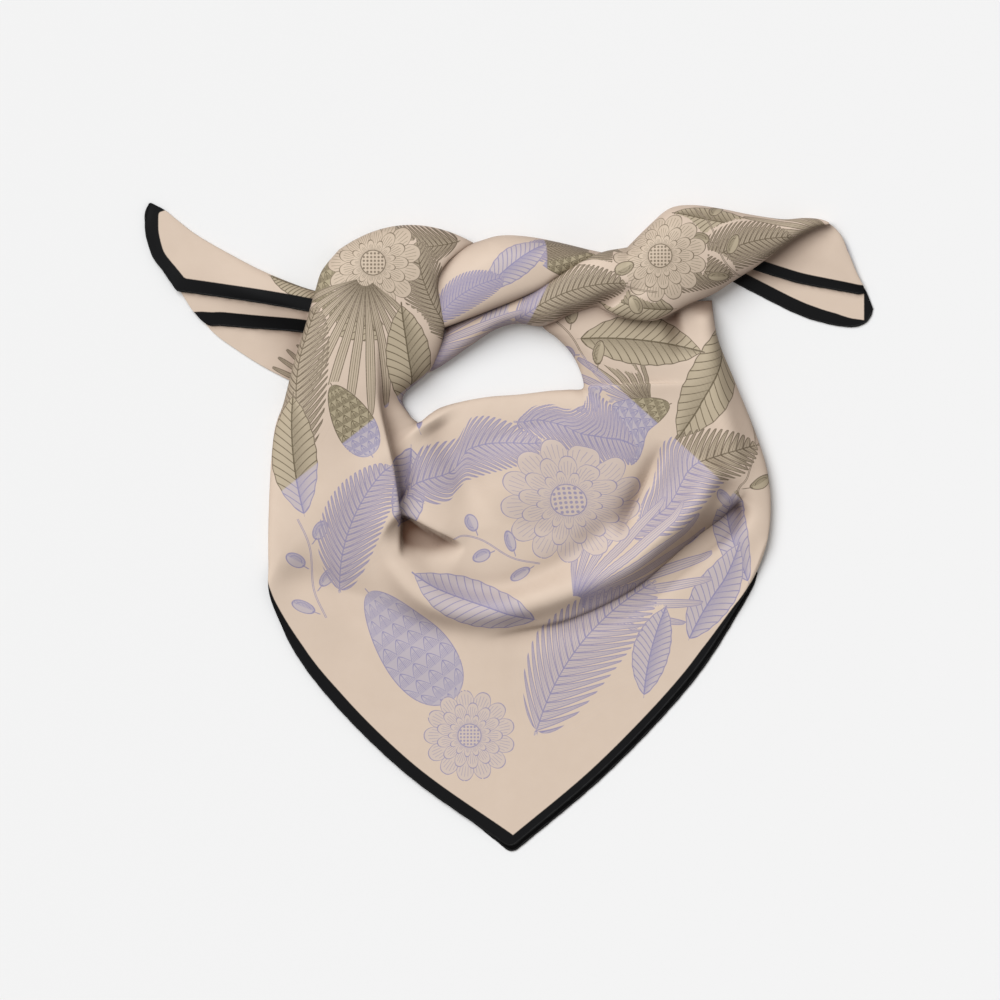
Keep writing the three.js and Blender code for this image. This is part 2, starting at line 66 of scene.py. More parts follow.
COLLAR = table(SECTION, [
    [-31, 243, -145, 237, 18, 29, 0.5, 12, 10, 3, 0, 0],
    [-53, 226, -159, 220, 6, 33, 0.5, 24, 12, 3, 0, 0],
    [-61, 207, -165, 203, 2, 35, 0.5, 25, 14, 3, 0, 0],
    [-55, 173, -175, 168, 0, 34, 0.5, 22, 15, 3, 0, 0],
    [-66, 137, -184, 139, 0, 30, 0.5, 12, 14, 3, 0, 0],
    [-90, 113, -192, 107, 0, 26, 0.5, 7, 10, 3, 0, 0],
    [-85, 97, -200, 82, 0, 23, 0.5, 7, 8, 3, 0, 0],
    [-78, 90, -204, 33, 0, 20, 0.45, 7, 8, 3, 0, 1],
    [-74, 92, -205, -27, 0, 20, 0.35, 7, 8, 1.6, 0, 0],
    [-68, 97, -201, -66, 0, 19, 0.25, 7, 4, 0.9, 0.6, 0],
    [-58, 103, -165, -129, 0, 17, 0.18, 6, 3.6, 0.6, 1, 0],
    [-40, 108, -91, -205, 0, 15, 0.15, 6, 3.6, 0.55, 1, 0],
    [-17, 112, 1, -271, 0, 14, 0.1, 6, 3.6, 0.55, 1, 2],
    [9, 114, 81, -203, 0, 14, 0.1, 6, 3.6, 0.55, 1, 0],
    [34, 117, 152, -127, 0, 15, 0.12, 6, 3.6, 0.6, 1, 0],
    [50, 118, 195, -63, 0, 17, 0.2, 7, 4, 0.7, 1, 0],
    [62, 119, 215, -25, 0, 18, 0.3, 7, 6, 0.9, 0.4, 0],
    [62, 128, 222, 12, 0, 20, 0.4, 8, 8, 2, 0, 0],
    [57, 141, 219, 50, 0, 22, 0.45, 8, 8, 3, 0, 0],
    [50, 152, 207, 87, 0, 24, 0.5, 8, 8, 3, 0, 0],
    [40, 162, 192, 124, 0, 25, 0.5, 8, 8, 3, 0, 0],
    [28, 172, 177, 162, 0, 25, 0.5, 8, 8, 3, 0, 0],
    [27, 186, 172, 194, 0, 24, 0.5, 8, 8, 3, 0, 0],
])
BACK = flat_layer(1.5, [
    [-150, 25, -190, -60], [-100, 40, -160, -124], [-50, 60, -88, -201], [0, 70, 2, -275.5],
    [50, 60, 84, -206], [100, 50, 155, -130], [150, 35, 197.5, -65], [185, 0, 211, -38],
])
BACK["free"][0] = 0
BACK["turn"][3] = 2
BULGE = table(SECTION, [
    [-59, 235, -68, 166, 0, 24, 0.55, 9, 19, 3, 0, 0],
    [-30, 243, -49, 173, 0, 31, 0.55, 9, 20, 3, 0, 0],
    [-8, 249, -23, 183, 0, 35, 0.55, 9, 22, 3, 0, 0],
    [17, 248, 5, 194, 0, 36, 0.55, 9, 24, 3, 0, 0],
    [43, 243, 27, 204, 0, 34, 0.55, 10, 26, 3, 0, 0],
    [68, 237, 43, 214, 0, 30, 0.5, 11, 26, 3, 0, 0],
    [87, 233, 64, 221, 0, 26, 0.5, 12, 24, 3, 0, 0],
])
BAND = table(SECTION, [
    [-72, 164, -72, 131, 0, 14, 0.5, 11, 7, 3, 0, 0],
    [-51, 172, -58, 138, 0, 18, 0.4, 14, 7, 3, 0, 0],
    [-29, 181, -35, 154, 0, 21, 0.4, 17, 7, 3, 0, 0],
    [-6, 190, -12, 169, 0, 24, 0.4, 20, 8, 3, 0, 0],
    [17, 199, 7, 174, 0, 28, 0.4, 25, 9, 3, 0, 0],
    [40, 213, 28, 172, 0, 34, 0.45, 29, 12, 3, 0, 0],
    [60, 226, 53, 181, 0, 38, 0.5, 30, 22, 3, 0, 0],
    [79, 235, 75, 187, 0, 41, 0.5, 26, 28, 3, 0, 0],
    [100, 239, 96, 179, 0, 42, 0.5, 14, 30, 3, 0, 1],
    [119, 258, 124, 177, 0, 42, 0.5, 11, 30, 3, 0, 0],
    [136, 272, 153, 191, 0, 39, 0.5, 10, 25, 3, 0, 0],
    [155, 275, 173, 199, 0, 35, 0.5, 10, 16, 3, 0, 0],
    [179, 272, 193, 212, 0, 31, 0.5, 10, 14, 3, 0, 0],
    [204, 267, 209, 222, 0, 28, 0.55, 10, 15, 3, 0, 0],
    [232, 263, 226, 235, 0, 24, 0.6, 10, 15, 3, 0, 0],
    [250, 264, 242, 247, 0, 21, 0.6, 10, 14, 3, 0, 0],
    [264, 263, 257, 255, 0, 18, 0.6, 10, 13, 3, 0, 0],
    [272, 260, 270, 258, 0, 14, 0.5, 10, 11, 3, 0, 0],
])
INNER_LEAF = table(SECTION, [
    [238, 260, 200, 223, 0, 6, 0.2, 4, 3.6, 0.6, 1, 0],
    [260, 263, 226, 215, 0, 6.5, 0.2, 5, 3.6, 0.6, 1, 0],
    [272, 259, 247, 209, 0, 7, 0.2, 5, 3.6, 0.6, 1, 0],
    [282, 249, 268, 205, 0, 7, 0.2, 5, 3.6, 0.6, 1, 0],
    [289, 233, 285, 202, 0, 6, 0.25, 4.5, 3.6, 0.6, 1, 0],
    [295, 218, 296, 200, 0, 5, 0.3, 4, 3.6, 0.6, 1, 0],
    [301, 206, 302, 200, 0, 3.9, 0.5, 3.7, 3.6, 0.6, 1, 0],
])
OUTER_LEAF = flat_layer(1.6, [
    [181, 226, 181, 215], [217, 226, 218, 196], [238, 223, 238, 186], [257, 220, 255, 179],
    [275, 216, 274, 174], [291, 211, 291, 172], [301, 205, 303, 176], [306, 195, 309, 187],
])
TOP_LEAF = table(SECTION, [
    [-157, 200, -157, 182, 0, 6, 0.4, 2.4, 5.6, 3, 1, 0],
    [-178, 206, -181, 187, 0, 6, 0.4, 2.4, 5.6, 3, 1, 0],
    [-210, 219, -216, 193, 0, 6, 0.4, 2.4, 5.6, 3, 1, 0],
    [-239, 234, -250, 198, 0, 6, 0.4, 2.4, 5.6, 3, 1, 0],
    [-265, 249, -282.5, 202.5, 0, 6, 0.4, 2.4, 5.6, 3, 1, 2],
    [-281, 261, -293, 218, 0, 5, 0.4, 2.4, 4.6, 3, 1, 0],
    [-292, 270, -303, 232, 0, 4, 0.4, 2.4, 3.6, 3, 1, 0],
    [-300, 274.5, -308.5, 250, 0, 3.5, 0.4, 2, 3, 3, 1, 0],
    [-304, 276.5, -309.3, 263, 0, 3, 0.4, 2, 2.6, 3, 1, 0],
    [-305.6, 276.8, -308.9, 269.5, 0, 3, 0.4, 2, 2.6, 3, 1, 0],
    [-306.6, 276.2, -307.9, 273.6, 0, 3, 0.4, 2, 2.6, 3, 1, 0],
])
MIDDLE_LEAF = flat_layer(3.6, [
    [-157, 192, -159, 164], [-181, 194, -181, 168], [-221, 199, -221, 171], [-244, 203, -244, 173],
    [-264, 205, -258, 174], [-282, 205, -270, 186],
])
LOWER_LEAF = table(SECTION, [
    [-159, 179, -171, 119, 0, 1.7, 0.5, 1.6, 1.6, 3, 0, 0],
    [-185, 179, -187, 126, 0, 1.7, 0.5, 1.6, 1.6, 3, 0, 0],
    [-210, 181, -210, 138, 0, 1.7, 0.5, 1.6, 1.6, 3, 0, 0],
    [-232, 183, -232, 152, 0, 1.7, 0.5, 1.6, 1.6, 3, 0, 0],
    [-251, 185, -250, 165, 0, 1.7, 0.5, 1.6, 1.6, 3, 0, 0],
    [-262, 187, -260, 176, 0, 1.7, 0.5, 1.6, 1.6, 3, 0, 0],
])

# Folds, which are deeper here than in the solids.
# depth is the height added along the path; near and far are the widths of its left and right side.
# A lip stands up on its left and drops within step on its right, and it hangs over that drop by lap.
# A drop lowers its right side only.
# fadeIn and fadeOut are the shares of the path over which the fold comes and goes.
FOLD = "kind depth near far step lap fadeIn fadeOut path".split()


def folds(rows):
    return [dict(zip(FOLD, row)) for row in rows]


CREASE = [(-34, -96), (1, -88), (54, -76), (107, -50), (155, -10), (184, 12), (203, 34)]
FOLDS = folds([
    ["ridge", 12, 17, 12, 0, 0, 0.3, 0.05, [(-104, 50), (-103, -14), (-72, -60), (-20, -72), (43, -57),
                                           (94, -34), (122, -12), (160, 24), (180, 58)]],
    ["ridge", -10, 6, 15, 0, 0, 0.8, 0.2, CREASE],
    ["ridge", -5, 4, 8, 0, 0, 0.4, 0.4, [(107, -50), (155, -10), (184, 12), (196, 26)]],
    ["drop", 8, 0, 13, 4, 0, 0.5, 0.4, [(107, -50), (155, -10), (184, 12), (196, 26)]],
    ["ridge", 6, 16, 9, 0, 0, 0.5, 0.15, [(62, -58), (100, -38), (142, -2), (176, 30)]],
    ["lip", 3, 9, 14, 4, 2.5, 0.55, 0.2, CREASE],
    ["ridge", -4, 12, 9, 0, 0, 0.2, 0.3, [(-80, -22), (-55, -43), (-17, -51), (30, -37), (73, -7), (98, 20),
                                          (112, 51), (122, 84)]],
    ["ridge", 6, 40, 40, 0, 0, 0.3, 0.4, [(9, 84), (20, 41), (14, 0)]],
    ["ridge", -7, 16, 16, 0, 0, 0.15, 0.4, [(-66, 92), (-50, 66), (-34, 34), (-28, -2)]],
    ["lip", 8, 20, 16, 5, 4, 0.2, 0.65, [(-92, -28), (-93, -1), (-95, 23), (-99, 53), (-105, 82), (-110, 109),
                                         (-112, 156), (-111, 190)]],
    ["lip", 5, 16, 14, 5, 3, 0.05, 0.5, [(-96, 16), (-72, 3), (-52, -7), (-36, -16)]],
    ["drop", 18, 0, 24, 4, 0, 0.2, 0.8, [(-96, 18), (-72, 4), (-52, -7), (-36, -16)]],
    ["ridge", -5, 17, 15, 0, 0, 0.2, 0.3, [(-200, -34), (-148, -52), (-93, -79), (-42, -96)]],
    ["ridge", -5, 5, 9, 0, 0, 0.25, 0.2, [(133, 74), (119, 44), (106, 18), (92, -8)]],
    ["lip", 2, 9, 8, 3, 1.2, 0.5, 0.3, [(131, 75), (118, 44), (106, 18), (93, -8)]],
    ["lip", -1.5, 14, 10, 2.5, 1.5, 0.1, 0.4, [(62, 121), (111, 123), (160, 124)]],
    ["ridge", -6, 7, 8, 0, 0, 0.1, 0.6, [(136, 190), (141, 166), (149, 140)]],
    ["ridge", 7, 12, 12, 0, 0, 0.1, 0.35, [(168, 190), (172, 155), (177, 114), (186, 80), (192, 50),
                                          (190, 30)]],
    ["lip", -1.2, 5, 5, 2, 1, 0.2, 0.3, [(220, -8), (210, -35), (197, -61), (180, -88)]],
])
BAND_FOLDS = folds([
    ["ridge", -8, 7, 6, 0, 0, 0.2, 0.4, [(40, 174), (66, 184), (88, 196), (122, 207)]],
])
TAIL_FOLDS = folds([
    ["ridge", 9, 18, 22, 0, 0, 0, 0.6, [(-150, 180), (-190, 192), (-235, 208), (-285, 235)]],
])


def smooth(low, high, x):
    s = np.clip((x - low) / (high - low), 0, 1)
    return s * s * (3 - 2 * s)


def column(rows, name, t):
    """One column of a section table as a smooth curve, with a sharp corner at the rows that turn."""
    values = np.array(rows[name], float)
    last = len(values) - 1
    i = np.clip(np.floor(t).astype(int), 0, last - 1)
    s = t - i
    turn = np.zeros(last + 1, bool)
    if name in ("aX", "aY", "bX", "bY"):
        turn = np.array(rows["turn"]) == (1 if name[0] == "a" else 2)

    def value(k):
        return values[np.clip(k, 0, last)]

    step = value(i + 1) - value(i)
    start = np.where(turn[i], step, (value(i + 1) - value(i - 1)) / 2)
    end = np.where(turn[i + 1], step, (value(i + 2) - value(i)) / 2)
    return value(i) + s * s * (3 - 2 * s) * step + s * (1 - s) * ((1 - s) * start - s * end)


def curve(points, count):
    """Points along a smooth curve through the given ones."""
    p = np.array(points, float)
    rows = {"x": p[:, 0], "y": p[:, 1]}
    t = np.linspace(0, len(p) - 1, count)
    return np.stack([column(rows, "x", t), column(rows, "y", t)], -1)


def nearest(path, x, y):
    """Distance to a path, the share of its length at the nearest point, and the path's left side there."""
    best = np.full(x.shape, np.inf)
    at = np.zeros(x.shape)
    left = np.zeros(x.shape)
    nx, ny = np.zeros(x.shape), np.zeros(x.shape)
    count = len(path) - 1
    for i in range(count):
        p, d = path[i], path[i + 1] - path[i]
        size = d @ d
        s = np.clip(((x - p[0]) * d[0] + (y - p[1]) * d[1]) / size, 0, 1)
        ox, oy = x - p[0] - s * d[0], y - p[1] - s * d[1]
        gap = np.hypot(ox, oy)
        closer = gap < best
        best = np.where(closer, gap, best)
        at = np.where(closer, (i + s) / count, at)
        left = np.where(closer, np.sign(d[0] * oy - d[1] * ox), left)
        nx = np.where(closer, -d[1] / math.sqrt(size), nx)
        ny = np.where(closer, d[0] / math.sqrt(size), ny)
    return best, at, left, nx, ny


BELL_PEAK = 2.33  # makes x * exp(-x * x) reach 1


def fold_effect(all_folds, x, y):
    """Height that the folds add at points of the plan, and how far they push those points sideways."""
    z, mx, my = np.zeros(x.shape), np.zeros(x.shape), np.zeros(x.shape)
    for f in all_folds:
        gap, at, left, nx, ny = nearest(curve(f["path"], 60), x, y)
        fade = smooth(0, f["fadeIn"] or 1e-6, at) * smooth(0, f["fadeOut"] or 1e-6, 1 - at)
        bell = np.exp(-((gap / np.where(left > 0, f["near"] or 1, f["far"])) ** 2))
        if f["kind"] == "ridge":
            z += f["depth"] * fade * bell
            continue
        if f["kind"] == "drop":
            z -= f["depth"] * fade * np.where(left < 0, bell * smooth(0, f["step"], gap), 0)
            continue
        # the side that stands up ends in a rounded lip, and the other one starts right under it
        side = left * np.sign(f["depth"])
        up = 0.2 + 0.8 * np.sin(math.pi / 2 * np.clip(gap / f["step"], 0, 1))
        down = 0.2 - 1.2 * np.sin(math.pi / 2 * np.clip(gap / (f["step"] * 0.7), 0, 1))
        z += abs(f["depth"]) * fade * bell * np.where(side > 0, up, down)
        share = gap / (f["lap"] * 0.9 + 1.5)
        push = f["lap"] * fade * BELL_PEAK * share * np.exp(-share ** 2)
        mx -= left * nx * push
        my -= left * ny * push
    return z, mx, my


def wrinkles(x, y, size, depth, seed):
    """Low, slow unevenness of handled silk."""
    random = np.random.default_rng(seed)
    z = np.zeros(x.shape)
    waves = 9
    for _ in range(waves):
        angle = random.uniform(0, math.tau)
        phase = random.uniform(0, math.tau)
        pitch = random.uniform(0.6, 1.6)
        z += np.sin((x * math.cos(angle) + y * math.sin(angle)) / (size * pitch) * math.tau + phase) / waves
    return z * depth


def profile(row, v):
    w = np.clip(1 - v / row["crestAt"], 0, 1)
    rise = row["aLift"] + (row["crest"] - row["aLift"]) * np.sqrt(np.clip(1 - w ** ROUNDNESS, 0, 1))
    w = np.clip((v - row["crestAt"]) / (1 - row["crestAt"]), 0, 1)
    dome = np.sqrt(np.clip(1 - w ** ROUNDNESS, 0, 1))
    free = np.clip(row["free"], 0, 1)
    down = (dome + (1 - dome) * free) * np.exp(-((w / row["reach"]) ** FALL))
    return np.where(v < row["crestAt"], rise, row["bLift"] + (row["crest"] - row["bLift"]) * down)


def cloth_grid(rows, long, wide, all_folds=(), lowest=0.0, start_round=0.0, rough=0.0, seed=1, spread=0.7,
               turn_a=12.0, turn_b=12.0, round_corner=0.06, dense=None, turn_start=0.0):
    """The cloth of one stretch: its points, the place of each in the printed cloth, and its sections.
    The cloth goes on round both edges, and turn_a and turn_b are how far it goes under there.
    turn_start is the same at its first row, and without it that row stays open.
    dense names two rows with two thirds of all grid lines between them."""
    last = len(rows["aX"]) - 1
    t = np.linspace(0, last, long)
    if dense:
        first, final = dense
        rest = first + last - final
        t = np.interp(np.linspace(0, 1, long), [0, first / rest / 3, 1 - (last - final) / rest / 3, 1],
                      [0, first, final, last])
    for k in np.nonzero(np.array(rows["turn"]) == 1)[0]:
        t[np.argmin(np.abs(t - k))] = k
    corners = np.nonzero(np.array(rows["turn"]) == 2)[0]
    for k in corners:
        t = np.sort(np.concatenate([t[np.abs(t - k) > round_corner * 1.1],
                                    k + np.linspace(-round_corner, round_corner, CORNER_LINES)]))
    long = len(t)
    even = np.linspace(0, 1, wide)
    v = even + spread * (0.5 - 0.5 * np.cos(np.pi * even) - even)
    T, V = np.meshgrid(t, v, indexing="ij")
    row = {name: column(rows, name, T) for name in SECTION}
    for k in corners:
        s = (T - k + round_corner) / (2 * round_corner)
        near = (s > 0) & (s < 1)
        for name in ("bX", "bY"):
            p, q, r = (column(rows, name, np.array(k + d * round_corner)) for d in (-1, 0, 1))
            row[name] = np.where(near, (1 - s) ** 2 * p + 2 * s * (1 - s) * q + s * s * r, row[name])
    dx, dy = row["bX"] - row["aX"], row["bY"] - row["aY"]
    width = np.hypot(dx, dy)
    dx, dy = dx / width, dy / width
    bow = row["bow"] * 4 * V * (1 - V)
    x = row["aX"] + dx * width * V + dy * bow
    y = row["aY"] + dy * width * V - dx * bow
    plan_x, plan_y = x.copy(), y.copy()
    z = profile(row, V)
    added, mx, my = fold_effect(all_folds, x, y)
    inside = np.sin(np.pi * np.clip(V, 0, 1)) ** 0.5
    z = z + added + wrinkles(x, y, 55, rough, seed) * inside
    if start_round:
        s = np.sqrt(1 - (1 - np.clip(T / start_round, 0, 1)) ** 2)
        z = row["aLift"] + (z - row["aLift"]) * s
    z = np.maximum(z, lowest + WALL)
    x, y = x + mx * inside, y + my * inside

    # where each point is in the printed cloth: the plan, spread out by the length taken up in the folds
    step = np.sqrt(np.diff(x, axis=1) ** 2 + np.diff(y, axis=1) ** 2 + np.diff(z, axis=1) ** 2)
    flat = np.hypot(np.diff(plan_x, axis=1), np.diff(plan_y, axis=1))
    spare = np.concatenate([np.zeros((long, 1)), np.cumsum(step - flat, axis=1)], 1)
    blend = np.clip(row["free"][:, -1:], 0, 1)
    base = spare[:, -1:] * blend + spare[:, wide // 2:wide // 2 + 1] * (1 - blend)
    cloth = np.stack([plan_x + dx * (spare - base), plan_y + dy * (spare - base)], -1)
    points = np.stack([x, y, z], -1)

    # the cloth's two turned edges; where an edge is free, only its thickness is turned
    free = np.clip(row["free"], 0, 1)

    def turned(j, sign, reach, share):
        rings, places = [], []
        lift = points[:, j, 2]
        under = np.minimum(reach * (1 - share) + 2.0 * share, width[:, j] * 0.45)
        floor = (lowest + GAP) * (1 - share) + (lift - 0.7) * share
        floor = np.minimum(floor, lift - 0.5)
        for k in range(1, RINGS + 1):
            angle = math.pi / 2 * k / RINGS
            inward = under * (1 - math.cos(angle))
            ring = points[:, j].copy()
            ring[:, 0] += sign * dx[:, j] * inward
            ring[:, 1] += sign * dy[:, j] * inward
            ring[:, 2] = lift + (floor - lift) * math.sin(angle)
            place = cloth[:, j].copy()
            place[:, 0] -= sign * dx[:, j] * (inward + (lift - floor) * math.sin(angle))
            place[:, 1] -= sign * dy[:, j] * (inward + (lift - floor) * math.sin(angle))
            rings.append(ring)
            places.append(place)
        return rings, places

    rings_a, places_a = turned(0, 1, turn_a, free[:, 0] * 0)
    rings_b, places_b = turned(wide - 1, -1, turn_b, free[:, -1])
    grid = np.concatenate([np.stack(rings_a[::-1], 1), points, np.stack(rings_b, 1)], 1)
    cloth = np.concatenate([np.stack(places_a[::-1], 1), cloth, np.stack(places_b, 1)], 1)
    if turn_start:
        ahead = (grid[3] - grid[0]) * (1, 1, 0)
        ahead /= np.linalg.norm(ahead, axis=1, keepdims=True)
        back = cloth[0] - cloth[3]
        back /= np.linalg.norm(back, axis=1, keepdims=True)
        fall = np.maximum(grid[0, :, 2] - lowest - GAP, 0)[:, None]
        for k in range(1, RINGS + 1):
            angle = math.pi / 2 * k / RINGS
            inward = turn_start * (1 - math.cos(angle))
            row = grid[k - 1] + ahead * inward - fall * (0, 0, math.sin(angle))
            place = cloth[k - 1] + back * (inward + fall * math.sin(angle))
            grid, cloth = np.concatenate([row[None], grid]), np.concatenate([place[None], cloth])
        points = np.concatenate([np.repeat(points[:1], RINGS, 0), points])
        t = np.concatenate([np.full(RINGS, -1.0), t])
    return grid, cloth, points, t


# Motifs of the print: kind, place in the cloth and half length in millimetres, and angle in degrees.
# Kinds: 0 fern, 1 leaf, 2 rosette, 3 pods, 4 bud, 5 spray.
BIB_MOTIFS = [
    [2, -34, -176, 41, 0],
    [4, -84, -100, 58, 38],
    [0, 66, -104, 80, -38],
    [1, -30, -56, 54, 68],
    [1, 122, -104, 38, -14],
    [2, 46, 36, 58, 10],
    [5, 112, -22, 66, -58],
    [0, -128, 4, 58, -22],
    [3, -168, -34, 46, 14],
    [0, -30, 72, 56, -72],
    [3, -12, -8, 40, 70],
    [1, 176, -56, 44, -34],
    [0, 152, 44, 66, -62],
    [0, 52, 96, 48, -104],
    [4, 104, 94, 34, -70],
    [1, -182, 62, 50, 6],
    [1, -84, 44, 38, 165],
    [4, -134, 92, 34, 30],
    [0, -176, 128, 60, -4],
    [1, -82, 142, 48, 14],
    [5, -136, 150, 62, 168],
    [2, -116, 226, 44, 0],
    [4, -160, 210, 36, 20],
    [0, -64, 200, 46, 24],
    [1, -142, 184, 44, 60],
    [0, -84, 244, 40, 84],
    [3, 60, 150, 46, 40],
    [1, 112, 158, 52, -96],
    [5, 80, 116, 42, 70],
    [1, 172, 126, 56, 152],
    [3, 206, 50, 46, -10],
    [1, 196, -6, 42, 10],
]
BULGE_MOTIFS = [
    [0, -36, 198, 34, -58],
    [1, 6, 226, 34, -52],
    [0, 40, 240, 32, -80],
    [4, 52, 226, 28, 80],
]
BAND_MOTIFS = [
    [5, -30, 164, 52, -74],
    [0, 50, 196, 50, -70],
    [3, 84, 214, 46, -110],
    [2, 128, 232, 42, 0],
    [1, 104, 190, 36, 80],
    [0, 70, 230, 40, -50],
    [3, 176, 244, 42, 30],
    [0, 150, 214, 40, -84],
    [0, 196, 236, 46, -70],
    [5, 230, 240, 44, 100],
    [1, 172, 264, 34, 78],
    [4, 96, 250, 30, 60],
    [1, 4, 184, 34, -66],
]
RIGHT_MOTIFS = [
    [1, 297, 240, 22, 24],
]
LEFT_MOTIFS = [
    [1, -178, 208, 26, 74],
    [5, -176, 128, 30, 60],
]
ROSETTE, PODS, SPRAY = 2, 3, 5
REACH = (0.56, 0.47, 1.0, 0.58, 0.53)  # half width of each kind of motif but the spray
FOOT = 1.05  # how far below its middle a spray's blades start, in the motif's own unit
LAYERS = ("front", "behind")
PEN = 0.46  # width of a drawn line, in millimetres


def covers(kind, x, y):
    """Whether a motif of this kind may mark a place, in the motif's own unit."""
    if kind == SPRAY:
        lean = np.arctan2(x, y + FOOT)
        return (np.hypot(x, y + FOOT) < 2.05 - lean ** 2 * 0.75) & (np.abs(lean) < 1.2)
    if kind == PODS:
        return (np.abs(x) < REACH[PODS]) & (np.abs(y) < 1.02)
    return (x / REACH[kind]) ** 2 + y ** 2 < (0.92 if kind == ROSETTE else 1.14)


def khaki_side(x, y):
    """How far a place of the collar is inside the olive part of the print, in millimetres."""
    left = (y - 24 - (x + 204) * 0.78) * 0.79
    right = (y - 122 + (x - 90) * 0.9) * 0.74
    return np.where(x < -20, left, right)


CELL = 1.5  # side of a cell of the height map, in millimetres
STEEPER = 2.2  # how much steeper than they are the folds count for their painted shade
SKY_SIDES = 20  # directions in which the folds are looked at from each place
SKY_REACH = (1.5, 3, 4.5, 6, 8, 10.5, 13.5, 17, 21, 26, 32, 40)  # distances, in millimetres
BRIGHT_SIDE, BRIGHTER = math.radians(134), 0.3  # where more of the light comes from, and how much more
MAP_LOW, MAP_HIGH = np.array([-340.0, -305.0]), np.array([340.0, 305.0])


def refined(grid, times):
    """The same surface on a closer grid."""
    for axis in (0, 1):
        last = grid.shape[axis] - 1
        at = np.linspace(0, last, last * times + 1)
        i = np.minimum(at.astype(int), last - 1)
        s = (at - i).reshape((-1, 1, 1) if axis == 0 else (1, -1, 1))
        grid = np.take(grid, i, axis) * (1 - s) + np.take(grid, i + 1, axis) * s
    return grid


def hidden_sky(grids):
    """Map of the share of the sky that the folds around each place of the plan hide from it, painted into the
    silk's colour as shade.
    """
    size = ((MAP_HIGH - MAP_LOW) / CELL).astype(int)
    height = np.zeros(size)
    around = [(a, b) for a in (-1, 0, 1) for b in (-1, 0, 1) if a or b]
    for grid in grids:
        p = refined(grid, 5).reshape(-1, 3)
        i = ((p[:, :2] - MAP_LOW) / CELL).astype(int)
        np.maximum.at(height, (i[:, 0], i[:, 1]), p[:, 2])
    seen, total = np.zeros(size), 0.0
    for k in range(SKY_SIDES):
        a = math.tau * k / SKY_SIDES
        slope = np.zeros(size)
        for far in SKY_REACH:
            shift = (-round(far * math.cos(a) / CELL), -round(far * math.sin(a) / CELL))
            slope = np.maximum(slope, (np.roll(height, shift, (0, 1)) - height) / far)
        weight = 1 + BRIGHTER * math.cos(a - BRIGHT_SIDE)
        seen += weight / (1 + (STEEPER * slope) ** 2)
        total += weight
    dark = 1 - seen / total
    # smoothed over the four cells around
    return (dark * 2 + sum(np.roll(dark, s, (0, 1)) for s in around[1::2])) / 6


def sampled(field, x, y):
    """A map's values at places of the plan, blended between its cells."""
    fx = np.clip((x - MAP_LOW[0]) / CELL - 0.5, 0, field.shape[0] - 2)
    fy = np.clip((y - MAP_LOW[1]) / CELL - 0.5, 0, field.shape[1] - 2)
    i, j = fx.astype(int), fy.astype(int)
    s, r = fx - i, fy - j
    return ((field[i, j] * (1 - s) + field[i + 1, j] * s) * (1 - r)
            + (field[i, j + 1] * (1 - s) + field[i + 1, j + 1] * s) * r)


def new_mesh(name, grid, cloth, hem, motifs, olive, shade):
    """A smooth mesh on a grid of points, with the cloth's own coordinates and the print's layout."""
    long, wide = grid.shape[:2]
    index = np.arange(long * wide).reshape(long, wide)
    faces = np.stack([index[:-1, :-1], index[1:, :-1], index[1:, 1:], index[:-1, 1:]], -1).reshape(-1, 4)
    mesh = bpy.data.meshes.new(name)
    mesh.vertices.add(long * wide)
    mesh.vertices.foreach_set("co", (grid.reshape(-1, 3) * MM).ravel())
    mesh.loops.add(faces.size)
    mesh.loops.foreach_set("vertex_index", faces.ravel())
    mesh.polygons.add(len(faces))
    mesh.polygons.foreach_set("loop_start", np.arange(len(faces)) * 4)
    mesh.polygons.foreach_set("use_smooth", np.ones(len(faces), bool))
    flat = cloth.reshape(-1, 2)
    mesh.uv_layers.new(name="cloth").data.foreach_set("uv", (flat[faces.ravel()] / 100).ravel())
    for label, values in (("hem", hem), ("olive", olive), ("shade", shade)):
        mesh.attributes.new(label, "FLOAT", "POINT").data.foreach_set("value", values.ravel())
    rows = np.array(motifs, float)
    turned = np.radians(rows[:, 4])
    middle = flat[faces].mean(1)

    def local(points, k):
        p = points - rows[k, 1:3]
        c, s, size = np.cos(turned[k]), np.sin(turned[k]), rows[k, 3]
        return np.stack([(p[..., 0] * c + p[..., 1] * s) / size, (-p[..., 0] * s + p[..., 1] * c) / size], -1)

    # each face keeps the two motifs that lie foremost there
    kinds = np.full((2, len(faces)), 9.0)
    pens = np.full((2, len(faces)), 0.01)
    places = np.zeros((2, len(faces), 4, 2))
    found = np.zeros(len(faces), int)
    for k in range(len(rows)):
        place = local(middle, k)
        inside = covers(int(rows[k, 0]), place[:, 0], place[:, 1])
        for layer in (1, 0):
            here = np.nonzero(inside & (found == layer))[0]
            kinds[layer, here] = rows[k, 0]
            pens[layer, here] = PEN / rows[k, 3]
            places[layer, here] = local(flat[faces[here]], k)
            found[here] += 1
    for layer, label in enumerate(LAYERS):
        mesh.uv_layers.new(name=label).data.foreach_set("uv", places[layer].ravel())
        mesh.attributes.new(label + "_kind", "FLOAT", "FACE").data.foreach_set("value", kinds[layer])
        mesh.attributes.new(label + "_pen", "FLOAT", "FACE").data.foreach_set("value", pens[layer])
    mesh.update()
    mesh.validate()
    obj = bpy.data.objects.new(name, mesh)
    scene.collection.objects.link(obj)
    # faces outward: upwards in the middle of the grid
    if mesh.polygons[(long // 2) * (wide - 1) + wide // 2].normal.z < 0:
        mesh.flip_normals()
    return obj


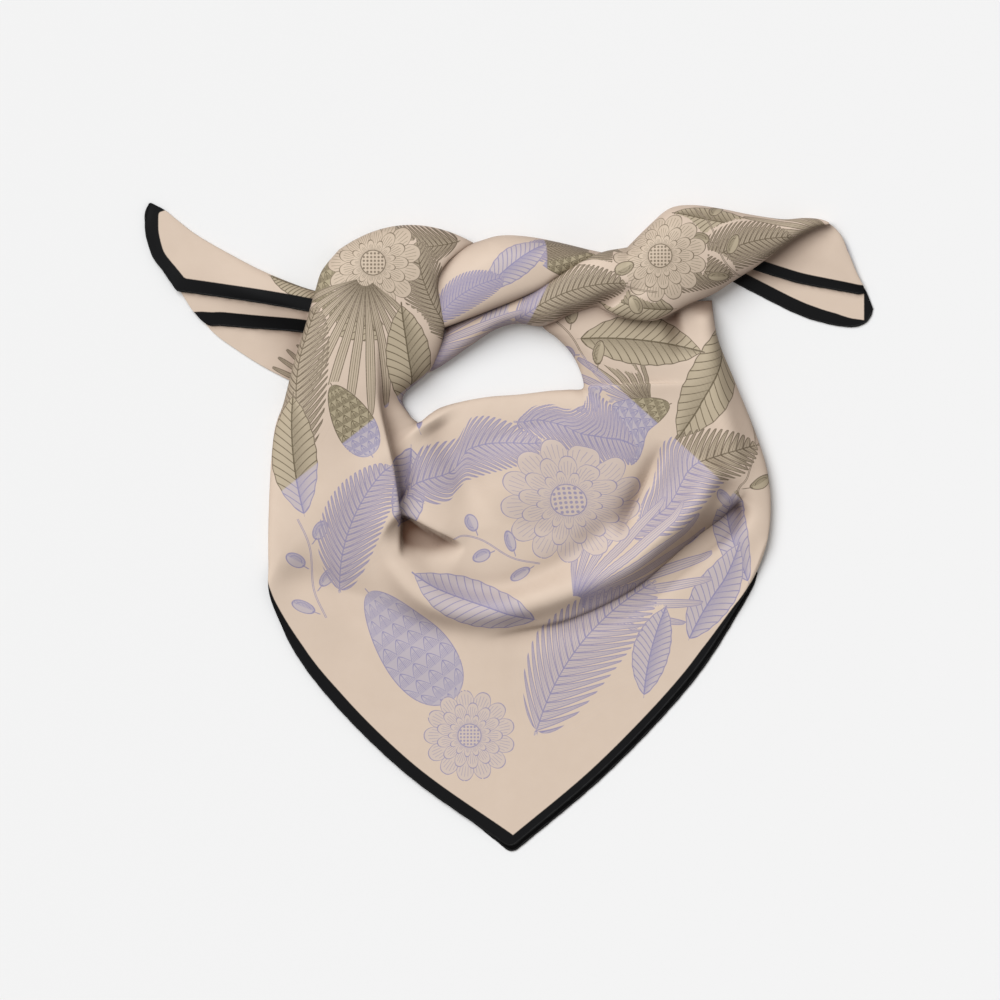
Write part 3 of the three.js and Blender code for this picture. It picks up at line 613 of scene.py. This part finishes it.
def hem_roll(name, points):
    """The rolled and whipped edge of the cloth, as a slim uneven roll along it."""
    p = np.array(points, float)
    away = np.concatenate([[0], np.cumsum(np.linalg.norm(np.diff(p, axis=0), axis=1))])
    count = max(int(away[-1] / 2.0), 4)
    s = np.linspace(0, away[-1], count)
    line = np.stack([np.interp(s, away, p[:, k]) for k in range(3)], -1)
    along = np.gradient(line, axis=0)
    along /= np.linalg.norm(along, axis=1, keepdims=True)
    side = np.cross(along, [0, 0, 1])
    side /= np.linalg.norm(side, axis=1, keepdims=True)
    up = np.cross(side, along)
    sides = 10
    ring = []
    size = HEM_RADIUS * (1 + 0.10 * np.sin(s / 3.1) + 0.06 * np.sin(s / 1.3 + 1))
    size = size * (0.25 + 0.75 * smooth(0, 14, s) * smooth(0, 6, s[-1] - s))
    for k in range(sides):
        a = math.tau * k / sides
        ring.append(line + side * (size * math.cos(a))[:, None] + up * (size * 0.85 * math.sin(a))[:, None])
    grid = np.stack(ring + [ring[0]], 1)
    index = np.arange(count * sides).reshape(count, sides)
    index = np.concatenate([index, index[:, :1]], 1)
    verts = np.stack(ring, 1).reshape(-1, 3)
    faces = [tuple(int(i) for i in q) for q in np.stack(
        [index[:-1, :-1], index[:-1, 1:], index[1:, 1:], index[1:, :-1]], -1).reshape(-1, 4)]
    faces.append(tuple(range(sides - 1, -1, -1)))
    faces.append(tuple(range((count - 1) * sides, count * sides)))
    mesh = bpy.data.meshes.new(name)
    mesh.from_pydata((verts * MM).tolist(), [], faces)
    mesh.polygons.foreach_set("use_smooth", np.ones(len(faces), bool))
    mesh.update()
    obj = bpy.data.objects.new(name, mesh)
    scene.collection.objects.link(obj)
    return obj


class Field:
    """A number in a material, worked out by Math nodes."""

    def __init__(self, tree, socket):
        self.tree, self.socket = tree, socket

    def math(self, operation, *others, clamp=False):
        node = self.tree.nodes.new("ShaderNodeMath")
        node.operation, node.use_clamp = operation, clamp
        for i, value in enumerate((self, *others)):
            if isinstance(value, Field):
                self.tree.links.new(value.socket, node.inputs[i])
            else:
                node.inputs[i].default_value = value
        return Field(self.tree, node.outputs[0])

    def __add__(self, other):
        return self.math("ADD", other)

    def __sub__(self, other):
        return self.math("SUBTRACT", other)

    def __rsub__(self, other):
        return self.math("MULTIPLY", -1.0).math("ADD", other)

    def __mul__(self, other):
        return self.math("MULTIPLY", other)

    __rmul__ = __mul__

    def __truediv__(self, other):
        return self.math("DIVIDE", other)

    def abs(self):
        return self.math("ABSOLUTE")

    def fract(self):
        return self.math("FRACT")

    def power(self, p):
        return self.math("POWER", p)

    def max(self, other):
        return self.math("MAXIMUM", other)

    def clamp(self):
        return self.math("ADD", 0.0, clamp=True)


def motif_group():
    """The print's motifs in a square from -1 to 1.
    Its outputs are the line, the wash, and the part that hides the motif behind."""
    tree = bpy.data.node_groups.new("motifs", "ShaderNodeTree")
    for name in ("x", "y", "kind", "pen"):
        tree.interface.new_socket(name, in_out="INPUT", socket_type="NodeSocketFloat")
    for name in ("line", "wash", "mask"):
        tree.interface.new_socket(name, in_out="OUTPUT", socket_type="NodeSocketFloat")
    entry = tree.nodes.new("NodeGroupInput")
    leave = tree.nodes.new("NodeGroupOutput")
    x, y, kind, pen = (Field(tree, entry.outputs[i]) for i in range(4))
    yy = y * y
    span = (1.0 - yy).max(0.0)  # 1 in the middle of a motif's length and 0 at its two ends
    thin = pen * 0.62

    def line_at(distance, width):
        return (1.4 - distance.abs() / width).clamp()

    def within(edge):
        return (edge / pen + 0.5).clamp()

    def apart(phase):
        return (phase.fract() - 0.5).abs()  # 0 midway between whole numbers and 0.5 at them

    def ruled(phase, slope, width):
        """Lines where phase is a whole number, for a phase that changes by slope in a motif's unit."""
        return line_at((0.5 - apart(phase)) * (1 / slope), width)

    # fern: a bent stem with slanting leaflets, each with its outline, midrib and two finer lines
    side = (x - yy * 0.2 + 0.1).abs()
    width = span.power(0.55) * 0.46
    share = (1.0 - side / width.max(0.02)).max(0.0)
    q = apart(y * 10.0 - side * 7.5 - side * side * 7.5)
    half = share.power(0.45) * 0.47
    fern_wash = within((half - q) * 0.085)
    fern_line = line_at((half - q) * 0.075, pen).max(fern_wash * line_at(q * 0.075, thin) * 0.8)
    fern_line = fern_line.max(fern_wash * line_at((q - half * 0.5) * 0.075, thin) * 0.45)
    fern_line = fern_line * within(share - 0.01)
    fern_line = fern_line.max(line_at(side, pen * 1.3) * within(0.98 - y.abs()))

    # leaf: double midrib, curved veins, and fine hatching that fades out from the midrib
    bent = x - yy * 0.08 + 0.04
    side = bent.abs()
    width = span.power(0.8) * 0.4 + (y * 26.0).math("SINE") * 0.006
    depth = width - side
    leaf_wash = within(depth)
    vein = y * 7.0 - side * 7.5 + side * side * 5.0
    hatch = ruled(vein * 6.0, 55.0, thin)
    near_rib = (1.15 - side / width.max(0.02) * 1.5).clamp()
    leaf_line = leaf_wash * ruled(vein, 9.5, pen * 0.85).max(line_at(side - 0.008, thin))
    leaf_line = leaf_line.max(leaf_wash * hatch * near_rib * within(bent) * 0.8)
    leaf_line = leaf_line.max(line_at(depth, pen)).max(line_at(side, pen) * within(0.99 - y.abs()))

    # rosette: three rings of pointed petals with rays, round a seeded middle
    far = (x * x + yy).power(0.5)
    turn = y.math("ARCTAN2", x) * (13 / math.tau)
    rosette_line, rosette_wash = None, None
    inner = 0.24
    for k, rim_far in enumerate((0.94, 0.68, 0.44)):
        q = apart(turn + 0.5 * (k % 2))
        rim = rim_far - (q * 2.0).power(2.4) * 0.19
        depth = rim - far
        inside = within(depth)
        rays = ruled(turn * 6.0, 12.4 / rim_far, thin) * within(far - rim_far + 0.3) * within(depth - 0.08)
        ring = line_at(depth, pen).max(inside * line_at((0.5 - q) * (0.48 * rim_far), pen * 0.8))
        ring = ring.max(inside * rays * 0.7)
        if rosette_line is None:
            rosette_line, rosette_wash = ring, inside
        else:
            rosette_line = (rosette_line * (1.0 - inside)).max(ring)
    middle = within(inner - far)
    seeds = ((x * 44.0).math("SINE") * (y * 44.0).math("SINE")).abs()
    rosette_line = (rosette_line * (1.0 - middle)).max(line_at(far - inner, pen))
    rosette_line = rosette_line.max(middle * within((seeds - 0.55) * 0.05) * 0.85)

    # pods: tilted pods left and right of a waving stem
    wave = x - (y * 4.0).math("SINE") * 0.06
    step = y * 2.3
    place = (step.fract() - 0.5) * (1 / 2.3)
    hand = (((step * 0.5).math("FLOOR") * 2.0 - step.math("FLOOR")) + 0.5) * -2.0
    out = wave * hand
    along = (out - 0.3) * 0.78 + place * 0.62
    over = place * 0.78 - (out - 0.3) * 0.62
    ball = ((along * 5.0).power(2.0) + (over * 9.0).power(2.0)).max(0.0).power(0.5)
    limit = within(0.86 - y.abs())
    pods_wash = within((1.0 - ball) * 0.12) * limit
    rim = line_at((0.62 - ball) * 0.13, thin) * within(over * 0.5)
    pods_line = line_at((1.0 - ball) * 0.13, pen).max(rim)
    pods_line = pods_line.max(pods_wash * ruled(along * 42.0, 42.0, thin) * within(over * 0.5) * 0.8)
    stalk = line_at(over + 0.02, pen) * within(out) * within(-0.17 - along)
    stem = line_at(wave - 0.012, thin).max(line_at(wave + 0.012, thin)) * within(0.95 - y.abs())
    pods_line = (pods_line.max(stalk) * limit).max(stem)

    # bud: overlapping scales with midribs inside an egg
    width = span.power(0.5) * (1.0 - y * 0.28) * 0.48
    depth = width - x.abs()
    bud_wash = within(depth)
    row = y * 4.6
    across = (x / width.max(0.05) * 2.0 + row.math("FLOOR") * 0.5).fract() - 0.5
    up = row.fract()
    scale = 0.92 - across.abs().power(1.5) * 2.2 - up
    bud_line = line_at(scale * 0.17, pen).max(within(scale * 0.17) * line_at(across * 0.2, thin))
    hatch = within((scale - 0.12) * 0.17) * ruled(across * 11.0, 46.0, thin) * within(0.55 - up)
    bud_line = bud_line.max(hatch * 0.75)
    bud_line = (bud_line * bud_wash).max(line_at(depth, pen))

    # spray: slim blades that spread from one point
    foot = y + FOOT
    far = (x * x + foot * foot).power(0.5)
    lean = x.math("ARCTAN2", foot)
    reach = 1.95 - lean * lean * 0.75
    q = apart(lean * 5.0 + far * lean * 0.5)
    share = (1.0 - far / reach).max(0.0)
    half = share.power(0.5) * 0.42 + 0.03
    fan = within(far - 0.12) * within(reach - far) * within(1.12 - lean.abs())
    spray_wash = within((half - q) * 0.1) * fan
    arc = far * 0.19
    spray_line = (line_at((half - q) * arc, pen) * fan).max(spray_wash * line_at(q * arc, thin))
    spray_line = spray_line.max(spray_wash * line_at((q - half * 0.5) * arc, thin) * 0.7)

    def chosen(*parts):
        total = None
        for k, part in enumerate(parts):
            share = kind.math("COMPARE", float(k), 0.5) * part
            total = share if total is None else total + share
        return total

    line = chosen(fern_line, leaf_line, rosette_line, pods_line, bud_line, spray_line)
    wash = chosen(fern_wash * 0.5, leaf_wash * 0.75, rosette_wash * 0.3, pods_wash * 0.8, bud_wash,
                  spray_wash * 0.5)
    tree.links.new(line.clamp().socket, leave.inputs[0])
    tree.links.new(wash.clamp().socket, leave.inputs[1])
    mask = chosen(fern_wash, leaf_wash, rosette_wash, pods_wash, bud_wash, spray_wash).max(line)
    tree.links.new(mask.clamp().socket, leave.inputs[2])
    return tree


GROUND = (0.655, 0.530, 0.430, 1)
OLIVE, OLIVE_WASH = (0.075, 0.054, 0.026, 1), (0.37, 0.32, 0.205, 1)
LAVENDER, LAVENDER_WASH = (0.225, 0.21, 0.38, 1), (0.45, 0.41, 0.475, 1)
BLACK = (0.0025, 0.0025, 0.003, 1)
PAINTED_SHADE = (0.17, 0.10, 0.07, 1)  # painted shade: what is left of the silk's colour in the deepest painted shade
RIB = 0.6  # distance between the twill's ribs, in millimetres


def relief(tree, shader, height, strength, distance):
    bump = tree.nodes.new("ShaderNodeBump")
    bump.inputs["Strength"].default_value = strength
    bump.inputs["Distance"].default_value = distance
    tree.links.new(height.socket, bump.inputs["Height"])
    tree.links.new(bump.outputs[0], shader.inputs["Normal"])


def silk_material(name):
    """Printed silk twill: beige ground, line motifs, black border, fine diagonal weave, soft sheen, and
    painted shade in the folds.
    """
    material = bpy.data.materials.new(name)
    material.use_nodes = True
    tree = material.node_tree
    nodes, links = tree.nodes, tree.links
    shader = nodes["Principled BSDF"]

    def attribute(label):
        node = nodes.new("ShaderNodeAttribute")
        node.attribute_name = label
        return Field(tree, node.outputs["Fac"])

    def uv(label):
        node = nodes.new("ShaderNodeUVMap")
        node.uv_map = label
        split = nodes.new("ShaderNodeSeparateXYZ")
        links.new(node.outputs[0], split.inputs[0])
        return node.outputs[0], Field(tree, split.outputs[0]), Field(tree, split.outputs[1])

    def blend(factor, first, second, way="MIX"):
        node = nodes.new("ShaderNodeMix")
        node.data_type, node.blend_type = "RGBA", way
        links.new(factor.socket, node.inputs[0])
        for socket, value in ((node.inputs[6], first), (node.inputs[7], second)):
            if isinstance(value, tuple):
                socket.default_value = value
            else:
                links.new(value, socket)
        return node.outputs[2]

    def noise(vector, scale, detail=2.0):
        node = nodes.new("ShaderNodeTexNoise")
        links.new(vector, node.inputs["Vector"])
        node.inputs["Scale"].default_value = scale
        node.inputs["Detail"].default_value = detail
        return Field(tree, node.outputs[0])

    def layer(label):
        _, mx, my = uv(label)
        group = nodes.new("ShaderNodeGroup")
        group.node_tree = bpy.data.node_groups.get("motifs") or motif_group()
        settings = (mx, my, attribute(label + "_kind"), attribute(label + "_pen"))
        for socket, value in zip(group.inputs, settings):
            links.new(value.socket, socket)
        return [Field(tree, output) for output in group.outputs]

    place, cx, cy = uv("cloth")
    (line, wash, mask), (far_line, far_wash, _) = (layer(label) for label in LAYERS)
    line = line.max(far_line * (1.0 - mask))
    wash = wash.max(far_wash * (1.0 - mask))
    tint = (0.5 - attribute("olive") * 0.7).clamp()
    hem = attribute("hem")
    mottle = noise(place, 9.0)
    ink = noise(place, 60.0)
    ground = blend((mottle - 0.35) * 0.5, GROUND, (0.60, 0.475, 0.375, 1))
    washed = blend(wash * 0.85, ground, blend(tint, OLIVE_WASH, LAVENDER_WASH))
    drawn = blend(line * (ink * 0.5 + 0.55), washed, blend(tint, OLIVE, LAVENDER))
    # the border, with the ink bleeding a little into the weave at its edge
    edge = ((BORDER - hem) * 1.4 + (ink - 0.5) * 0.5 + 0.5).clamp()
    colour = blend(edge, drawn, BLACK)
    # painted shade: the colour is multiplied toward brown where the folds hide the sky, so creases and
    # hollows are darker
    painted_shade = attribute("shade")
    painted_shade = ((painted_shade - 0.12) * 1.6).clamp().power(1.5)
    # painted shade multiplied into the base colour
    colour = blend(painted_shade, colour, PAINTED_SHADE, "MULTIPLY")
    links.new(colour, shader.inputs["Base Color"])

    # twill: diagonal ribs, broken up by the threads
    ribs = ((cx + cy) * (100 / RIB / 1.41 * math.tau)).math("SINE")
    threads = noise(place, 320.0, 1.0)
    height = ribs * 0.35 + threads
    relief(tree, shader, height, 0.12, 0.0002)
    links.new((mottle * 0.12 + 0.46).socket, shader.inputs["Roughness"])
    shader.inputs["Specular IOR Level"].default_value = 0.12
    shader.inputs["Sheen Weight"].default_value = 0.02
    shader.inputs["Sheen Roughness"].default_value = 0.4
    shader.inputs["Sheen Tint"].default_value = (1.0, 0.93, 0.86, 1)
    return material


def hem_material():
    """The rolled hem, dyed black by the border, with the slanted whip stitches that close it."""
    material = bpy.data.materials.new("rolled_hem")
    material.use_nodes = True
    tree = material.node_tree
    nodes, links = tree.nodes, tree.links
    shader = nodes["Principled BSDF"]
    where = nodes.new("ShaderNodeTexCoord")
    split = nodes.new("ShaderNodeSeparateXYZ")
    links.new(where.outputs["Object"], split.inputs[0])
    x, y = Field(tree, split.outputs[0]), Field(tree, split.outputs[1])
    stitch = ((x + y * 0.6) * (math.tau / 0.0042)).math("SINE")
    noise = nodes.new("ShaderNodeTexNoise")
    noise.inputs["Scale"].default_value = 900.0
    links.new(where.outputs["Object"], noise.inputs["Vector"])
    grain = Field(tree, noise.outputs[0])
    relief(tree, shader, stitch * 0.5 + grain, 0.5, 0.0003)
    mix = nodes.new("ShaderNodeMix")
    mix.data_type = "RGBA"
    mix.inputs[6].default_value = BLACK
    mix.inputs[7].default_value = (0.012, 0.012, 0.012, 1)
    links.new(grain.socket, mix.inputs[0])
    links.new(mix.outputs[2], shader.inputs["Base Color"])
    shader.inputs["Roughness"].default_value = 0.55
    shader.inputs["Specular IOR Level"].default_value = 0.15
    return material


SILK = silk_material("silk_twill_print")
HEM = hem_material()
NO_HEM = 99.0  # distance to the hem where the stretch has none
ALL_LAVENDER = 9.0  # distance past the olive part of the print
cloths = []


def place_cloth(*settings, **more):
    """Notes one cloth, to be made once the shade of all the folds is known."""
    cloths.append((settings, more))


def make_cloth(hidden, name, nodes, grid, cloth, hem_path, rests_on, motifs, held="laid", hems=(),
               olive=None):
    """One cloth in place of the nodes that it stands for, with its hems."""
    hem = np.full(cloth.shape[:2], NO_HEM)
    if hem_path is not None:
        hem = nearest(hem_path, cloth[..., 0], cloth[..., 1])[0]
    olive = np.full(hem.shape, ALL_LAVENDER) if olive is None else olive
    # painted shade: the share of sky hidden by the folds, stored on the points for the material's colour
    shade = sampled(hidden, grid[..., 0], grid[..., 1])
    obj = new_mesh(name, grid, cloth, hem, motifs, olive, shade)
    obj.data.materials.append(SILK)
    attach(obj, "root")
    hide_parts(*nodes)
    for k, points in enumerate(hems):
        roll = hem_roll(f"hem_{name}_{k + 1}", points)
        roll.data.materials.append(HEM)
        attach(roll, "root")
    low, high = grid.reshape(-1, 3).min(0), grid.reshape(-1, 3).max(0)
    area = sum(p.area for p in obj.data.polygons)
    # the stretch's own share of the square, cut to the length and width that hold this much cloth
    length = max(high[0] - low[0], high[1] - low[1]) * MM
    width = max(area / length, min(high[0] - low[0], high[1] - low[1]) * MM)
    cut = min(area, width * length)


def edge_points(points, t, first, final, drop=0.5):
    """The cloth's edge b between two rows, a little below its upper side."""
    line = points[(t >= first) & (t <= final), -1].copy()
    line[:, 2] -= drop
    return line


def hem_line(cloth, t, first, final, offsets):
    """The hem in the printed cloth: the edge b seen, moved outward by what is turned under of it there.
    offsets lists places along the stretch with the millimetres turned under."""
    keep = (t >= first) & (t <= final)
    edge = cloth[keep, -RINGS - 1]
    outward = edge - cloth[keep, -RINGS - 5]
    outward /= np.linalg.norm(outward, axis=1, keepdims=True)
    away = np.interp(t[keep], [p[0] for p in offsets], [p[1] for p in offsets])
    return edge + outward * away[:, None]


# The bib and both arms, in one piece of cloth
grid, cloth, top, t = cloth_grid(COLLAR, 430, 200, FOLDS, lowest=1.9, start_round=1.4, rough=0.8, seed=3,
                                 spread=0.5, dense=(7, 17), turn_start=4)
turned_under = [(8.2, 15), (8.6, 11), (9.2, 6.5), (9.6, 3.5), (10.2, 1.5), (11.94, 1.5), (12.06, 5.2),
                (13.4, 5.2), (14.3, 5.8), (15, 9.5), (15.6, 12), (16.2, 16)]
place_cloth("collar", ["left_arm", "bib_front", "right_arm"], grid, cloth,
            hem_line(cloth, t, 8.2, 16.2, turned_under), ["bib_back_cloth"], BIB_MOTIFS, "folded",
            hems=[edge_points(top, t, 9.3, 15.5)], olive=khaki_side(cloth[..., 0], cloth[..., 1]))

# The lower layer of the triangle
grid, cloth, top, t = cloth_grid(BACK, 160, 24, (), turn_a=1.0)
place_cloth("bib_back_cloth", ["bib_back"], grid, cloth, hem_line(cloth, t, 0, 7, [(0, 0), (7, 0)]),
            ["stage_floor"], BIB_MOTIFS, hems=[edge_points(top, t, 0.2, 6.9, 0.6)])

# The end of the right arm over the top of the knot
grid, cloth, top, t = cloth_grid(BULGE, 130, 70, (), rough=1.2, seed=5, turn_a=16, turn_b=6)
place_cloth("bulge_cloth", ["knot_bulge"], grid, cloth, None, ["band_cloth"], BULGE_MOTIFS, "gathered",
            olive=cloth[..., 0] - 32)

# The strand that comes out below the knot and opens into the right tail
grid, cloth, top, t = cloth_grid(BAND, 300, 80, BAND_FOLDS, rough=1.0, seed=8, turn_a=12, turn_b=12)
place_cloth("band_cloth", ["knot_strand", "band", "right_tail_flap"], grid, cloth, None, ["collar"],
            BAND_MOTIFS, "gathered", olive=cloth[..., 0] - 24 + (190 - cloth[..., 1]) * 0.5)

# The two layers of the right tail under its flap
grid, cloth, top, t = cloth_grid(INNER_LEAF, 90, 50, (), lowest=1.9, rough=0.5, seed=11, turn_a=2)
place_cloth("right_inner_cloth", ["right_tail_inner"], grid, cloth,
            hem_line(cloth, t, 0, 6, [(0, 2), (6, 4)]), ["right_outer_cloth"], RIGHT_MOTIFS,
            hems=[edge_points(top, t, 0, 6)], olive=cloth[..., 0] - 900)

grid, cloth, top, t = cloth_grid(OUTER_LEAF, 110, 40, (), turn_a=1)
hem_path = hem_line(cloth, t, 0, 5, [(0, 0.5), (3, 0.5), (4, 1.5), (5, 4.5)])
hem_path = np.concatenate([hem_path, [[302, 166], [312.3, 166], [312.3, 226]]])
place_cloth("right_outer_cloth", ["right_tail_outer"], grid, cloth, hem_path, ["stage_floor"], RIGHT_MOTIFS,
            hems=[edge_points(top, t, 0, 7)])

# The three layers of the left tail
grid, cloth, top, t = cloth_grid(TOP_LEAF, 130, 50, TAIL_FOLDS, lowest=0.4, rough=0.4, seed=13, turn_a=3,
                                 round_corner=0.03)
hem_path = hem_line(cloth, t, 0, 10, [(0, 0), (4.3, 0), (5.2, 1.8), (6.2, 1.8), (7.5, 0.5), (10, 0)])
hem_path = np.concatenate([hem_path, [[-303, 278.5], [-296, 281]]])
place_cloth("left_top_cloth", ["left_tail_top"], grid, cloth, hem_path, ["left_middle_cloth"], LEFT_MOTIFS,
            hems=[edge_points(top, t, 0, 10)])

grid, cloth, top, t = cloth_grid(MIDDLE_LEAF, 90, 36, TAIL_FOLDS, lowest=2.0, turn_a=1)
hem_path = np.concatenate([hem_line(cloth, t, 0, 3.6, [(0, 0), (3.6, 0)]), [[-262, 173.4], [-280, 172.5]]])
place_cloth("left_middle_cloth", ["left_tail_middle"], grid, cloth, hem_path, ["left_lower_cloth"],
            LEFT_MOTIFS, hems=[edge_points(top, t, 0, 4)])

grid, cloth, top, t = cloth_grid(LOWER_LEAF, 90, 40, TAIL_FOLDS, turn_a=1, turn_b=4)
place_cloth("left_lower_cloth", ["left_tail_lower"], grid, cloth, None, ["stage_floor"], LEFT_MOTIFS)

hidden = hidden_sky([settings[2] for settings, _ in cloths])
for settings, more in cloths:
    make_cloth(hidden, *settings, **more)

# Floor, light and camera
floor_mesh = bpy.data.meshes.new("stage_floor")
floor_mesh.from_pydata([(-6, -6, 0), (6, -6, 0), (6, 6, 0), (-6, 6, 0)], [], [(0, 1, 2, 3)])
floor = bpy.data.objects.new("stage_floor", floor_mesh)
scene.collection.objects.link(floor)
paper = bpy.data.materials.new("pale_floor")
paper.use_nodes = True
paper.node_tree.nodes["Principled BSDF"].inputs["Base Color"].default_value = (0.86, 0.86, 0.86, 1)
paper.node_tree.nodes["Principled BSDF"].inputs["Roughness"].default_value = 0.9
paper.node_tree.nodes["Principled BSDF"].inputs["Specular IOR Level"].default_value = 0.1
floor.data.materials.append(paper)


def place_light(light, place, direction):
    obj = bpy.data.objects.new(light.name, light)
    obj.location = place
    obj.rotation_mode = "QUATERNION"
    obj.rotation_quaternion = Vector(direction).to_track_quat("-Z", "Y")
    scene.collection.objects.link(obj)


fill = bpy.data.lights.new("fill", "AREA")
fill.shape = "SQUARE"
fill.size = 2.4
fill.energy = 1.5
place_light(fill, (1.2, -0.6, 2.2), (-1.2, 0.6, -2.2))
sun = bpy.data.lights.new("key", "SUN")
sun.energy = 2.75
sun.angle = 0.85
sun.color = (1.0, 1.015, 1.03)
place_light(sun, (0, 0, 0), (0.42, -0.44, -0.79))
world = bpy.data.worlds.new("studio")
world.use_nodes = True
world.node_tree.nodes["Background"].inputs["Color"].default_value = (1.0, 0.97, 0.94, 1)
world.node_tree.nodes["Background"].inputs["Strength"].default_value = 0.34
scene.world = world
scene.view_settings.view_transform = "Standard"
scene.view_settings.look = "None"

VIEW_CENTRE = (-0.008075, 0.024225)
VIEW_WIDTH = 0.85  # 1000 pixels of the photograph at 0.85 mm each
camera = bpy.data.cameras.new("camera")
camera.type = "ORTHO"
camera.ortho_scale = VIEW_WIDTH
camera_object = bpy.data.objects.new("camera", camera)
camera_object.location = (*VIEW_CENTRE, 3.0)
scene.collection.objects.link(camera_object)
scene.camera = camera_object

bpy.context.view_layer.update()
